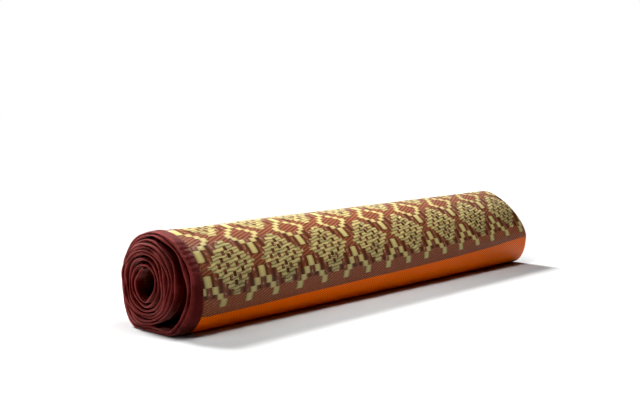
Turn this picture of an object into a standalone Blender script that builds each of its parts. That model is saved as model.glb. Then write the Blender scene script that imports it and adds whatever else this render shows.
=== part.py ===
"""Woven straw mat, rolled up and lying on its side, with a bound long edge at the near end of the roll.

The mat is one long strip of cloth wound from the middle outwards. Its solid is a true spiral sheet, and the
binding is a folded tape that sits over the sheet's near edge and follows the same spiral.
X runs along the roll, from the bound end (-X) to the plain end (+X). Z is up and z = 0 is the floor.
A place in a cross-section is given as (across, height), where across is -Y, to the right seen from the bound end.
"""

import math

import bmesh
import bpy
import numpy as np

MM = 0.001

# Driving sizes, in metres
MAT_WIDTH = 0.610
MAT_THICK = 1.6 * MM
TONGUE_THICK = 0.9 * MM
BINDING_WIDTH = 12.0 * MM
BINDING_THICK = 2.5 * MM
BINDING_WALL = 0.5 * MM
CLEARANCE = 0.3 * MM
RIM_BEVEL = 1.0 * MM
ROOT_LENGTH = 30.0 * MM
FAR_EDGE = MAT_WIDTH - 13.4 * MM
FAR_RECESS = 12.0 * MM
FLARE = 2.8 * MM
FLARE_LENGTH = 16.0 * MM
CORNER_PULL = 6.0 * MM
TURN_PITCH = 3.0 * MM

# Winding
WINDING_STEPS = 281
STEPS_PER_TURN = 30
TURNS = WINDING_STEPS / STEPS_PER_TURN
CORE_NEAR = (-7.5 * MM, 47.0 * MM)
CORE_FAR = (1.0 * MM, 47.0 * MM)

# The three tables have a row for each turn, from the inside out, and columns top, left, bottom and right, in mm
# Radius of the sheet's middle at the bound end
NEAR_RADIUS = (
    (15.0, 14.5, 19.0, 16.5),
    (18.5, 19.2, 23.0, 21.5),
    (24.0, 24.8, 27.0, 27.4),
    (29.5, 30.2, 31.0, 30.4),
    (32.7, 33.4, 34.0, 33.4),
    (35.7, 36.3, 37.0, 36.7),
    (38.7, 39.2, 40.0, 40.5),
    (42.3, 42.8, 43.0, 53.0),
    (46.7, 46.4, 46.2, 57.0),
    (49.6, 49.5, 49.6, 60.0),
)

# Radius of the sheet's middle at the plain end
FAR_RADIUS = (
    (17.0, 19.0, 17.5, 18.6),
    (20.2, 22.8, 20.8, 22.0),
    (23.6, 27.0, 24.2, 25.8),
    (27.1, 31.0, 27.8, 29.6),
    (30.4, 34.9, 31.2, 33.6),
    (33.8, 38.6, 34.8, 37.4),
    (37.3, 42.7, 38.2, 41.6),
    (40.6, 46.6, 42.6, 46.8),
    (44.0, 50.4, 46.2, 52.0),
    (47.1, 54.2, 49.6, 55.0),
)

# How far the bound rim stands out towards the near end
RIM_OUT = (
    (25.5, 25.5, 25.5, 25.5),
    (25.5, 25.5, 25.5, 25.5),
    (25.5, 25.5, 25.5, 25.5),
    (25.0, 25.5, 25.0, 24.5),
    (24.5, 25.0, 24.5, 23.5),
    (23.5, 24.0, 26.0, 21.5),
    (23.5, 21.5, 26.0, 19.5),
    (19.5, 18.0, 24.5, 15.5),
    (18.0, 15.0, 24.0, 12.0),
    (15.5, 12.0, 14.0, 14.0),
)

# Outer outline of the roll at each end, m: rounded quarters over a flat bottom
NEAR_OUTLINE = {
    "right": 53.1 * MM,
    "right_height": 44.5 * MM,
    "flat_right": 32.0 * MM,
    "top_across": -1.4 * MM,
    "height": 97.6 * MM,
    "lower_power": 1.97,
    "upper_power": 1.87,
    "left": -57.0 * MM,
    "left_height": 50.0 * MM,
    "flat_left": -18.0 * MM,
}
FAR_OUTLINE = {
    "right": 57.0 * MM,
    "right_height": 38.7 * MM,
    "flat_right": 34.1 * MM,
    "top_across": -12.4 * MM,
    "height": 98.4 * MM,
    "lower_power": 2.03,
    "upper_power": 1.54,
    "left": -53.0 * MM,
    "left_height": 50.0 * MM,
    "flat_left": -15.0 * MM,
}

# Turn numbers over which a change comes in
NEAR_FADE = (6.5, 7.5)
FAR_FADE = (0.0, 8.0)
FLARE_TURNS = (7.0, 8.5)
RECESS_TURNS = (3.0, 8.2)
FLOOR_RISE = 0.7
# Turn numbers of the corner where the last two turns leave the floor, and the corner's half width in turns
CORNER_TURNS = (7.62, 8.62)
CORNER_SPREAD = 0.06
LAST_INNER_TURN = TURNS - 1.0
NEAR_END = (NEAR_RADIUS, NEAR_OUTLINE, CORE_NEAR, NEAR_FADE)
FAR_END = (FAR_RADIUS, FAR_OUTLINE, CORE_FAR, FAR_FADE)

COLLECTION_NAME = "rolled_straw_mat"


def clear_scene():
    for item in list(bpy.data.objects):
        bpy.data.objects.remove(item, do_unlink=True)


def smooth(value, low, high):
    """0 below low, 1 above high and an S curve between."""
    step = np.clip((value - low) / (high - low), 0.0, 1.0)
    return step * step * (3.0 - 2.0 * step)


def along_table(rows, turn):
    """The table's value at a turn number: a smooth curve through its quarter-turn values."""
    values = np.array(rows, float).ravel()
    padded = np.concatenate([[2 * values[0] - values[1]], values, [2 * values[-1] - values[-2]]])
    place = np.clip(4.0 * turn, 0.0, len(values) - 1.001)
    index = place.astype(int)
    part = place - index
    before, here, there, after = (padded[index + step] for step in range(4))
    curve = 2 * here + (there - before) * part
    curve += (2 * before - 5 * here + 4 * there - after) * part**2
    curve += (3 * here - before - 3 * there + after) * part**3
    return 0.5 * curve


def outline_points(size, points=60):
    """The outline as a loop of (across, height): four powered quarters joined by the flat bottom."""
    angle = np.linspace(0.0, math.pi / 2, points)
    cos, sin = np.cos(angle), np.sin(angle)

    def quarter(centre, reach, power, first, second):
        across = centre[0] + reach[0] * first ** (2 / power)
        height = centre[1] + reach[1] * second ** (2 / power)
        return np.stack([across, height], 1)

    right_level = size["right_height"]
    left_level = size["left_height"]
    crown = size["height"]
    lower_right = quarter(
        (size["flat_right"], right_level),
        (size["right"] - size["flat_right"], -right_level),
        size["lower_power"], sin, cos,
    )
    upper_right = quarter(
        (size["top_across"], right_level),
        (size["right"] - size["top_across"], crown - right_level),
        size["upper_power"], cos, sin,
    )
    upper_left = quarter(
        (size["top_across"], left_level),
        (size["left"] - size["top_across"], crown - left_level),
        size["upper_power"], sin, cos,
    )
    lower_left = quarter(
        (size["flat_left"], left_level),
        (size["left"] - size["flat_left"], -left_level),
        size["lower_power"], cos, sin,
    )
    across = np.linspace(size["flat_left"], size["flat_right"], points)
    flat = np.stack([across, np.zeros(points)], 1)
    return np.concatenate([lower_right, upper_right, upper_left, lower_left, flat])


def outline_radius(size, core, angle):
    """Distance from the core's centre to the outline, at angles measured from the top towards the left."""
    spoke = outline_points(size) - core
    around = np.arctan2(-spoke[:, 0], spoke[:, 1]) % math.tau
    order = np.argsort(around)
    return np.interp(angle % math.tau, around[order], np.hypot(*spoke.T)[order], period=math.tau)


def corner_fullness(size, core, fade, turn):
    """How far the outline stands outside a smooth curve through its top, left, bottom and right."""
    quarters = outline_radius(size, core, np.arange(4) * math.pi / 2)
    rounded = along_table(np.tile(quarters, (3, 1)), turn % 1.0 + 1.0)
    share = smooth(turn, *fade)
    return share * (outline_radius(size, core, math.tau * turn) - rounded)


def lowest_middle(turn, half_thick):
    """The least height of the sheet's middle: each turn further in lies one pitch higher."""
    inner = np.zeros_like(turn)
    for count in range(int(LAST_INNER_TURN)):
        inner += np.clip((LAST_INNER_TURN - count - turn) / FLOOR_RISE, 0.0, 1.0)
    return half_thick + TURN_PITCH * inner


def section(end, turn, half_thick, extra=0.0):
    """The sheet's middle line in one cross-section, as (across, height) at each turn number."""
    rows, size, core, fade = end
    angle = math.tau * turn
    radius = along_table(rows, turn) * MM + corner_fullness(size, core, fade, turn) + extra
    across = core[0] - radius * np.sin(angle)
    height = core[1] + radius * np.cos(angle)
    height = np.maximum(height, lowest_middle(turn, half_thick))
    return np.stack([across, height], 1)


def flare(turn):
    """The outer turns open to the right just behind the bound rim."""
    facing = 0.5 - 0.5 * np.sin(math.tau * turn)
    return FLARE * facing**2 * smooth(turn, *FLARE_TURNS)


def rim_place(turn):
    """X of the bound rim. The corner where the last two turns leave the floor is pulled out further."""
    place = -along_table(RIM_OUT, turn) * MM
    for corner in CORNER_TURNS:
        place -= CORNER_PULL * np.exp(-(((turn - corner) / CORNER_SPREAD) ** 2))
    return place


def far_place(turn):
    """X of the plain edge: level round the outer turn and a little further in on the inner ones."""
    return FAR_EDGE - FAR_RECESS * (1.0 - smooth(turn, *RECESS_TURNS))


def outward(middle, core):
    """Unit normals of a middle line, pointing away from the core."""
    along = np.gradient(middle, axis=0)
    normal = np.stack([along[:, 1], -along[:, 0]], 1)
    normal /= np.linalg.norm(normal, axis=1)[:, None]
    facing = np.sign(np.sum(normal * (middle - core), axis=1))
    return normal * facing[:, None]


def wound_points(profile):
    """World points of a profile of (distance from the rim, offset outwards), a row for each step of the winding."""
    turn = np.linspace(0.0, TURNS, WINDING_STEPS + 1)
    rim = section(NEAR_END, turn, BINDING_THICK / 2)
    root = section(NEAR_END, turn, MAT_THICK / 2, flare(turn))
    far = section(FAR_END, turn, MAT_THICK / 2)
    rim_normal = outward(rim, CORE_NEAR)
    far_normal = outward(far, CORE_FAR)
    start = rim_place(turn)
    columns = []
    for distance, offset in profile:
        opened = smooth(distance, 0.0, FLARE_LENGTH)
        lowered = smooth(distance, BINDING_WIDTH + CLEARANCE, ROOT_LENGTH)
        middle = rim + opened * (root - rim)
        middle[:, 1] += (1.0 - lowered) * np.maximum(rim[:, 1] - middle[:, 1], 0.0)
        run = max(0.0, (distance - ROOT_LENGTH) / (MAT_WIDTH - ROOT_LENGTH))
        middle = middle + run * (far - middle)
        normal = rim_normal + run * (far_normal - rim_normal)
        normal /= np.linalg.norm(normal, axis=1)[:, None]
        place = middle + offset * normal
        along = start + min(distance, ROOT_LENGTH)
        along = along + run * (far_place(turn) - along)
        columns.append(np.stack([along, -place[:, 0], place[:, 1]], 1))
    return np.stack(columns, 1)


def mat_profile():
    """Sheet section: a thin tongue inside the binding, then the full cloth to the plain end."""
    tongue, half = TONGUE_THICK / 2, MAT_THICK / 2
    tip = BINDING_WALL + CLEARANCE
    shoulder = BINDING_WIDTH + CLEARANCE
    outer = [(tip, tongue), (shoulder, tongue), (shoulder, half), (ROOT_LENGTH, half), (MAT_WIDTH, half)]
    inner = [(distance, -offset) for distance, offset in reversed(outer)]
    return outer + inner


def binding_profile():
    """Tape folded over the edge: two walls joined by a bevelled rim."""
    half = BINDING_THICK / 2
    inside = half - BINDING_WALL
    outer = [(BINDING_WIDTH, half), (RIM_BEVEL, half), (0.0, half - 0.75 * RIM_BEVEL)]
    outer += [(distance, -offset) for distance, offset in reversed(outer)]
    channel = [(BINDING_WIDTH, -inside), (BINDING_WALL, -inside), (BINDING_WALL, inside), (BINDING_WIDTH, inside)]
    return outer + channel


def strip_faces(rings, columns):
    """Quads between neighbouring profile copies, and the profile itself as a cap at both ends."""
    faces = []
    for ring in range(rings - 1):
        for column in range(columns):
            beside = (column + 1) % columns
            corners = (column, beside, beside + columns, column + columns)
            faces.append(tuple(ring * columns + corner for corner in corners))
    faces.append(tuple(reversed(range(columns))))
    faces.append(tuple((rings - 1) * columns + column for column in range(columns)))
    return faces


def make_object(name, points, material, collection):
    """A closed strip object from its grid of points, shaded smooth but for its edges."""
    rings, columns = points.shape[:2]
    mesh = bpy.data.meshes.new(name)
    mesh.from_pydata(points.reshape(-1, 3).tolist(), [], strip_faces(rings, columns))
    shell = bmesh.new()
    shell.from_mesh(mesh)
    bmesh.ops.recalc_face_normals(shell, faces=shell.faces)
    shell.to_mesh(mesh)
    shell.free()
    mesh.shade_smooth()
    mesh.set_sharp_from_angle(angle=math.radians(50))
    mesh.materials.append(material)
    item = bpy.data.objects.new(name, mesh)
    collection.objects.link(item)
    return item


def plain_material(name, colour, roughness):
    material = bpy.data.materials.new(name)
    material.use_nodes = True
    shader = material.node_tree.nodes["Principled BSDF"]
    shader.inputs["Base Color"].default_value = (*colour, 1.0)
    shader.inputs["Roughness"].default_value = roughness
    shader.inputs["Metallic"].default_value = 0.0
    return material


def straw_material():
    return plain_material("straw_weave", (0.48, 0.38, 0.19), 0.5)


def binding_material():
    return plain_material("maroon_tape", (0.18, 0.035, 0.035), 0.8)


def box_shift(grids):
    """Moves the middle of the whole box, seen from above, to the origin."""
    points = np.concatenate([grid.reshape(-1, 3) for grid in grids])
    middle = (points.min(axis=0) + points.max(axis=0)) / 2
    return np.array([-middle[0], -middle[1], 0.0])


def main():
    clear_scene()
    collection = bpy.data.collections.new(COLLECTION_NAME)
    bpy.context.scene.collection.children.link(collection)
    mat = wound_points(mat_profile())
    binding = wound_points(binding_profile())
    shift = box_shift((mat, binding))
    make_object("woven_mat", mat + shift, straw_material(), collection)
    make_object("side_binding", binding + shift, binding_material(), collection)


if __name__ == "__main__":
    main()
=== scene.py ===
"""Rolled woven straw mat: its cloth, side binding and sewing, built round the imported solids.

X runs along the roll from its bound end (-X) to its plain end (+X), Z is up and z = 0 is the floor. A place
in a cross-section is (across, height), where across is -Y. A place in the flat cloth is (width, length): from
the binding's inner edge, and from the lattice's feet over the orange stripe towards the free edge.
"""

import math
from functools import partialmethod, reduce

import bpy
import numpy as np
from bpy.props import FloatProperty, FloatVectorProperty, PointerProperty
from bpy.types import Operator, Panel, PropertyGroup
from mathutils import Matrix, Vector


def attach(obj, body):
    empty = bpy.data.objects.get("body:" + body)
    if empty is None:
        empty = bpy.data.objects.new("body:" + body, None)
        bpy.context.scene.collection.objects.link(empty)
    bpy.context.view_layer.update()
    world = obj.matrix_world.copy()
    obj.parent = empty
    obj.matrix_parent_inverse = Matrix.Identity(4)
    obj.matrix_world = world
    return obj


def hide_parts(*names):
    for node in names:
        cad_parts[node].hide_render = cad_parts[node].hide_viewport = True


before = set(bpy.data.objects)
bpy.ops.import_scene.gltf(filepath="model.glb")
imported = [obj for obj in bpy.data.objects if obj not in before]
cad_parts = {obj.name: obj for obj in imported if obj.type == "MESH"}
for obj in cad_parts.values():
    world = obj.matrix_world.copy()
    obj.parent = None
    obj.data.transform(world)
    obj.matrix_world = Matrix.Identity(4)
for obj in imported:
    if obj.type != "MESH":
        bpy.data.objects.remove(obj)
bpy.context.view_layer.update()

bl_info = {
    "name": "Rolled straw mat",
    "version": (1, 0, 0),
    "blender": (4, 5, 0),
    "location": "View3D > Sidebar > Straw Mat",
    "description": "Builds a rolled woven straw mat with its side binding",
    "category": "Add Mesh",
}

MM = 0.001

# Winding: the same sizes and tables as the solids
MAT_WIDTH = 0.610
MAT_THICK = 1.6 * MM
BINDING_WIDTH = 12.0 * MM
BINDING_THICK = 2.5 * MM
BINDING_WALL = 0.5 * MM
CLEARANCE = 0.3 * MM
ROOT_LENGTH = 30.0 * MM
FAR_EDGE = MAT_WIDTH - 13.4 * MM
FAR_RECESS = 12.0 * MM
FLARE = 2.8 * MM
FLARE_LENGTH = 16.0 * MM
CORNER_PULL = 6.0 * MM
TURN_PITCH = 3.0 * MM
TURNS = 281 / 30
CORE_NEAR = (-7.5 * MM, 47.0 * MM)
CORE_FAR = (1.0 * MM, 47.0 * MM)
# The roll's box middle, seen from above, before it is moved to the origin
BOX_MIDDLE = (284.8835 * MM, 1.2311 * MM, 0.0)

# A row for each turn, from the inside out, and columns top, left, bottom and right, in mm
# Radius of the sheet's middle at the bound end
NEAR_RADIUS = (
    (15.0, 14.5, 19.0, 16.5),
    (18.5, 19.2, 23.0, 21.5),
    (24.0, 24.8, 27.0, 27.4),
    (29.5, 30.2, 31.0, 30.4),
    (32.7, 33.4, 34.0, 33.4),
    (35.7, 36.3, 37.0, 36.7),
    (38.7, 39.2, 40.0, 40.5),
    (42.3, 42.8, 43.0, 53.0),
    (46.7, 46.4, 46.2, 57.0),
    (49.6, 49.5, 49.6, 60.0),
)

# Radius of the sheet's middle at the plain end
FAR_RADIUS = (
    (17.0, 19.0, 17.5, 18.6),
    (20.2, 22.8, 20.8, 22.0),
    (23.6, 27.0, 24.2, 25.8),
    (27.1, 31.0, 27.8, 29.6),
    (30.4, 34.9, 31.2, 33.6),
    (33.8, 38.6, 34.8, 37.4),
    (37.3, 42.7, 38.2, 41.6),
    (40.6, 46.6, 42.6, 46.8),
    (44.0, 50.4, 46.2, 52.0),
    (47.1, 54.2, 49.6, 55.0),
)

# How far the bound rim stands out towards the near end
RIM_OUT = (
    *[(25.5, 25.5, 25.5, 25.5)] * 3,
    (25.0, 25.5, 25.0, 24.5),
    (24.5, 25.0, 24.5, 23.5),
    (23.5, 24.0, 26.0, 21.5),
    (23.5, 21.5, 26.0, 19.5),
    (19.5, 18.0, 24.5, 15.5),
    (18.0, 15.0, 24.0, 12.0),
    (15.5, 12.0, 14.0, 14.0),
)

# Outer outline of the roll at each end, in mm: (across, height) of its right side, its top and its left side,
# (left, right) of its flat bottom, and the powers of its lower and upper quarters
NEAR_OUTLINE = ((53.1, 44.5), (-1.4, 97.6), (-57.0, 50.0), (-18.0, 32.0), (1.97, 1.87))
FAR_OUTLINE = ((57.0, 38.7), (-12.4, 98.4), (-53.0, 50.0), (-15.0, 34.1), (2.03, 1.54))

# Turn numbers over which a change comes in
NEAR_FADE = (6.5, 7.5)
FAR_FADE = (0.0, 8.0)
FLARE_TURNS = (7.0, 8.5)
RECESS_TURNS = (3.0, 8.2)
FLOOR_RISE = 0.7
CORNER_TURNS = (7.62, 8.62)
CORNER_SPREAD = 0.06
LAST_INNER_TURN = TURNS - 1.0
NEAR_END = (NEAR_RADIUS, NEAR_OUTLINE, CORE_NEAR, NEAR_FADE)
FAR_END = (FAR_RADIUS, FAR_OUTLINE, CORE_FAR, FAR_FADE)

# Folds of the first turn at the bound end: turn number, how far it is pushed in, spread
CORE_FOLDS = ((0.13, 2.4 * MM, 0.06), (0.60, 1.8 * MM, 0.07))
# The binding's lap low on the front: how far it reaches over the cloth, the lengths over which it comes in
# and goes, and how far into the cloth it pulls the weave
LAP = 8.5 * MM
LAP_IN = (-14.0 * MM, 32.0 * MM)
LAP_OUT = (45.0 * MM, 90.0 * MM)
LAP_PULL = 40.0 * MM
# A wander's second sine: its share of the first, its faster rate and its later start
SECOND_SHARE = 0.7
SECOND_RATE = 1.618
SECOND_START = 2.3
# How far the folded tape thins, leans and draws back from the rim, each with its wander's length and start.
# It draws back less round the outer turn.
THINNING = 0.55 * MM
THINNING_GAIN = 1.6
THINNING_WANDER = (47.0 * MM, 0.8)
LEANING = 0.9
LEANING_WANDER = (83.0 * MM, 2.0)
DRAWING_BACK = 3.0 * MM
DRAWING_BACK_OUTER = 0.8 * MM
DRAWING_BACK_FADE = (-230.0 * MM, -140.0 * MM)
DRAWING_BACK_WANDER = (61.0 * MM, 4.0)
# Slanted creases low on the front: height, length, middle and reach of the stretch, and the distances from
# the rim over which they deepen
CREASE_HEIGHT = 0.6 * MM
CREASE_LENGTH = 6.3 * MM
CREASE_SLANT = 0.25
CREASED_MIDDLE = 41.0 * MM
CREASED_REACH = 14.0 * MM
CREASE_FADE = (0.5 * MM, 4.0 * MM)
# Sewn groove: depth, half width, and the share of its depth that stays between two stitches
GROOVE_DEPTH = 0.12 * MM
GROOVE_HALF = 0.9 * MM
GROOVE_EVEN = 0.6
# Puckers beside the groove: height, lengths in which they and their drift turn by a radian, and the distances
# from the rim over which they come in
PUCKER_HEIGHT = 0.07 * MM
PUCKER_LENGTH = 4.7 * MM
PUCKER_DRIFT = 1.7
PUCKER_DRIFT_LENGTH = 19.0 * MM
PUCKER_FADE = (0.0, 5.0 * MM)
# Tape's wall from its edge to the fold: distance from the rim in mm, share of the half thickness
TAPE_WALL = (
    (12.0, 0.86), (11.75, 0.97), (11.2, 1.0), (10.6, 1.0), (10.0, 1.0),
    (9.2, 1.0), (7.8, 1.0), (6.0, 1.0), (4.2, 1.0), (2.6, 1.0),
)
FOLD_POINTS = 9
# Channel round the mat's tongue: distance from the rim of its floor's corners and middle
CHANNEL_CORNER = 1.2 * MM
CHANNEL_FLOOR = 0.8 * MM
# The fold's middle, measured round the tape in mm from its outer wall's edge
FOLD_PLACE = 12.8
# Rings of a stitch, from hole to hole: place in half lengths, height and girth in thread radii
STITCH_RINGS = (
    (-1.0, -0.6, 0.25), (-0.72, 0.05, 0.8), (-0.3, 0.5, 1.0),
    (0.3, 0.5, 1.0), (0.72, 0.05, 0.8), (1.0, -0.6, 0.25),
)
STITCH_SIDES = 5
SEWING_MARGIN = 3.0 * MM

# Turn numbers of the lattice's feet at the bound end and at the plain end
FEET_NEAR = 8.72
FEET_FAR = 8.775
# The cloth's length, from the feet: its free edge and its start edge
FREE_EDGE = 203.0 * MM
START_EDGE = -1829.0 * MM
# Points where the winding's length is measured, and how far past the last turn
LENGTH_POINTS = 12001
LENGTH_MARGIN = 0.2

# Edges of the cloth: tongue in the binding, step at the binding's edge, and rounding of the cut ends
TONGUE_HALF = 0.3 * MM
TONGUE_FROM = 4.6 * MM
SHOULDER = BINDING_WIDTH + CLEARANCE
SHOULDER_STEP = 0.2 * MM
END_ROUND = 1.2 * MM
END_STEP = 0.4 * MM
END_THIN = 0.35
# Rounding of the plain edge: distance in from it in mm, share of the half thickness
PLAIN_EDGE = ((1.0, 1.0), (0.3, 0.75), (0.0, 0.3))
# The cream straws' relief stops this far from the plain edge
RELIEF_MARGIN = 2.0 * MM
# Mesh: the outer turn, which shows, is finer from this length on
FINE_FROM = -150.0 * MM
COARSE_ROWS = 250
FINE_ROWS = 204
FACE_COLUMNS = 241
COARSE_STEP = 6
COARSE_TAPE_ROW = 2.0 * MM
FINE_TAPE_ROW = 0.55 * MM
# A quad's corners taken the other way round
TURNED = (0, 3, 2, 1)

# Chart of the woven pattern, in mm. It repeats across the cloth, and is mirrored about the orange stripe and
# about the lattice's middle row.
REPEAT = 74.8
FIRST_BAR = 7.5
STRIPE_MIDDLE = -37.0
STRIPE_EDGE = -19.5
LATTICE_MIDDLE = 90.6
BAND_LENGTH = 240.0
NONE = -5.0
# From this length on: the cream outline's inner and outer distance from a bar's middle, and the cream
# diamond's half width
CHART = (
    (-37.0, NONE, NONE, NONE),
    (-12.0, 14.0, 24.5, NONE),
    (-4.0, 9.0, 19.0, NONE),
    (-2.5, 9.0, 19.0, 5.5),
    (2.0, 3.5, 13.0, 5.5),
    (4.0, 3.5, 13.0, 11.5),
    (9.5, NONE, 5.2, 11.5),
    (10.0, NONE, 5.2, 17.0),
    (16.0, NONE, 5.2, 23.0),
    (20.7, NONE, NONE, 23.0),
    (22.0, NONE, NONE, 28.0),
    (26.0, NONE, NONE, 33.0),
    (29.0, NONE, NONE, 28.0),
    (33.0, NONE, NONE, 23.0),
    (34.0, NONE, 5.2, 23.0),
    (39.0, NONE, 5.2, 17.0),
    (45.0, NONE, 5.2, 11.5),
    (47.2, 3.5, 13.0, 11.5),
    (50.5, 3.5, 13.0, 5.5),
    (52.0, 10.5, 19.5, 5.5),
    (55.0, 10.5, 19.5, NONE),
    (56.0, 14.5, 24.5, NONE),
    (62.0, 10.0, 19.0, NONE),
    (63.0, 10.0, 19.0, 5.5),
    (66.4, 3.5, 12.5, 5.5),
    (67.5, 3.5, 12.5, 11.5),
    (71.3, NONE, 5.2, 11.5),
    (73.0, NONE, 5.2, 17.0),
    (79.0, NONE, 5.2, 23.0),
    (84.5, NONE, NONE, 28.0),
    (89.0, NONE, NONE, 33.0),
)
CHART_TOP = 40.0
# Brown dots in a cream diamond: (distance along from its middle, distance across from it)
DOTS = ((0.0, 6.0), (0.0, 18.0), (5.8, 12.0), (9.2, 0.0), (12.6, 6.0), (17.4, 0.0))
DOT_HALF_ACROSS = 2.2
DOT_HALF_ALONG = 2.5
# A diamond's middle, and half the length from one to the next
DIAMOND_ROW = 27.4
HALF_ROW = 31.6
# Ribbed ground between two rows of diamonds
RIBBED_ROW = 61.0
RIBBED_HALF = 9.0
# How far the weave leans and sags, in mm: a row for each length and a column for each width
SHIFT_WIDTHS = (15.0, 155.0, 295.0, 435.0, 575.0)
SHIFT_LENGTHS = (-5.0, 23.0, 50.0, 78.0)
SHIFT_ACROSS = (
    (-3.9, 0.3, -0.1, 0.2, -0.1),
    (2.1, 3.6, 4.7, 3.7, -1.5),
    (2.3, 6.6, 7.9, 3.6, -3.0),
    (4.2, 13.0, 12.5, 5.7, 7.5),
)
SHIFT_ALONG = (
    (-0.4, 0.6, 1.8, 2.2, -1.5),
    (-0.4, 1.2, 3.3, 3.4, -2.9),
    (-1.3, 2.0, 3.7, 1.6, -4.5),
    (-0.8, 0.4, -1.4, -6.2, -4.4),
)
# Turns further in than this lie in deep shade: instead of their pattern they are left plain dark brown, which
# is painted shade
INNER_PATTERN = -150.0

# Cream fingers, in mm: pitch, slant and wander of their rows, length of one, how far each row starts further
# on and at random, how far a diamond's side moves from row to row, and how far they stand out
FINGER_PITCH = 3.7
FINGER_SLANT = 0.15
FINGER_WANDER = 4.4
FINGER_LENGTH = 11.0
FINGER_STAGGER = 0.38
FINGER_JITTER = 0.3
FINGER_RAGGED = 1.2
FINGER_HEIGHT = 0.28
# Cream bars, in mm: pitch of the lines on them, and relief between the lines and on them
BAR_LINE_PITCH = 2.6
BAR_HEIGHT = (0.30, 0.36)
# Ground, in mm: relief, and pitches and slants of its twill, ribs and floats. Twill lies below one row of the
# chart, and ribs also run through the diamonds' middles.
GROUND_HEIGHT = 0.26
TWILL_BELOW = -2.0
TWILL_PITCH = 3.0
TWILL_STITCH = 2.7
TWILL_STAGGER = 0.32
TWILL_ALONG = 0.89
TWILL_ACROSS = 0.42
RIB_PITCH = 3.4
RIB_SLANT = 0.34
DIAMOND_RIBS_HALF = 5.5
FLOAT_FIRST = 5.2
FLOAT_WIDTH = 11.0
FLOAT_SLANT = 0.9
FLOAT_LENGTH = 8.0
# Pitch of the tape's plain weave, in mm
TAPE_WEAVE = 0.7

# Photograph's view
CAMERA_PLACE = (-0.9146, -0.7694, 0.2231)
CAMERA_YAW = 41.89
CAMERA_PITCH = 5.52
CAMERA_LENS = 56.25

# Light: a wide distant light behind the roll casts its shadow, softboxes hang over it, low cards stand before
# it, and a bright wall and a strip behind it give its gloss. Each has a place, an aim, a size and a power.
BACK_LIGHT_FROM = (0.10, 1.0, 0.98)
BACK_LIGHT_SPREAD = 12.0
BACK_LIGHT_STRENGTH = 6.2
LIGHTS = {
    "top_softbox": ((-0.05, 0.1, 1.5), (0.0, 0.0, 0.0), (0.3, 0.35), 4.7),
    "near_softbox": ((-0.06, -0.05, 0.55), (-0.06, 0.0, 0.0), (0.3, 0.1), 2.6),
    "front_card": ((-0.25, -1.0, 0.10), (-0.05, -0.05, 0.06), (0.6, 0.12), 0.4),
    "end_softbox": ((-0.62, 0.2, 0.62), (-0.31, 0.0, 0.07), (0.15, 0.15), 1.3),
    "end_card": ((-1.0, 0.14, 0.06), (-0.3, 0.0, 0.05), (0.2, 0.12), 1.5),
    "back_wall": ((2.2, 2.2, 0.45), (0.0, 0.0, 0.1), (3.5, 0.9), 17.0),
    "glare_strip": ((1.0, 1.5, 0.34), (-0.26, 0.0, 0.1), (0.25, 0.2), 4.0),
}
# Distances over which the floor grows white, and its level near the roll, where it is painted darker: painted
# shade that deepens the shadows there
FLOOR_REACH = (0.4, 1.6)
FLOOR_NEAR_LEVEL = 0.56
FLOOR_GAP = 0.2 * MM
FILL_STRENGTH = 0.012
# The photograph's tones: middle ones darker than plain
VIEW_GAMMA = 0.85
BLACK_LEVEL = 0.008


class StrawMatSizes(PropertyGroup):
    relief: FloatProperty(
        name="Relief", description="How far the cream straws stand out",
        default=0.35 * MM, min=0.0, unit="LENGTH",
    )
    stitch_pitch: FloatProperty(
        name="Stitch pitch", description="Distance from one stitch to the next",
        default=3.3 * MM, min=1.0 * MM, unit="LENGTH",
    )
    stitch_length: FloatProperty(
        name="Stitch length", description="Length of a stitch that shows",
        default=2.0 * MM, min=0.5 * MM, unit="LENGTH",
    )
    stitch_radius: FloatProperty(
        name="Thread radius", description="Radius of the sewing thread",
        default=0.22 * MM, min=0.05 * MM, unit="LENGTH",
    )
    stitch_place: FloatProperty(
        name="Stitch row", description="Distance of the stitches from the rim",
        default=10.6 * MM, min=0.0, unit="LENGTH",
    )
    floor_size: FloatProperty(
        name="Floor size", description="Length of a side of the floor",
        default=24.0, min=1.0, unit="LENGTH",
    )


class StrawMatColours(PropertyGroup):
    cream: FloatVectorProperty(
        name="Cream straw", description="Raised straws", default=(0.54, 0.445, 0.195), subtype="COLOR",
    )
    brown: FloatVectorProperty(
        name="Brown straw", description="Ground", default=(0.25, 0.082, 0.037), subtype="COLOR",
    )
    # Colour of the painted highlights on the ground's crests
    brown_glint: FloatVectorProperty(
        name="Brown glint", description="Ground's shiny crests", default=(0.6, 0.42, 0.34), subtype="COLOR",
    )
    orange: FloatVectorProperty(
        name="Orange straw", description="Stripe", default=(0.95, 0.185, 0.0), subtype="COLOR",
    )
    tape: FloatVectorProperty(
        name="Binding tape", description="Side binding", default=(0.175, 0.031, 0.029), subtype="COLOR",
    )
    thread: FloatVectorProperty(
        name="Sewing thread", description="Stitches", default=(0.24, 0.07, 0.065), subtype="COLOR",
    )
    floor: FloatVectorProperty(
        name="Floor", description="Floor", default=(0.95, 0.95, 0.95), subtype="COLOR",
    )


def smooth(value, low, high):
    """0 below low, 1 above high and an S curve between."""
    step = np.clip((value - low) / (high - low), 0.0, 1.0)
    return step * step * (3.0 - 2.0 * step)


def bump_over(value, middle, reach):
    """A bell curve: 1 at its middle and about a third at its reach."""
    return np.exp(-(((value - middle) / reach) ** 2))


def along_table(rows, turn):
    """The table's value at a turn number: a smooth curve through its quarter-turn values."""
    values = np.array(rows, float).ravel()
    padded = np.concatenate([[2 * values[0] - values[1]], values, [2 * values[-1] - values[-2]]])
    place = np.clip(4.0 * turn, 0.0, len(values) - 1.001)
    index = place.astype(int)
    part = place - index
    before, here, there, after = (padded[index + step] for step in range(4))
    curve = 2 * here + (there - before) * part
    curve += (2 * before - 5 * here + 4 * there - after) * part**2
    curve += (3 * here - before - 3 * there + after) * part**3
    return 0.5 * curve


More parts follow.
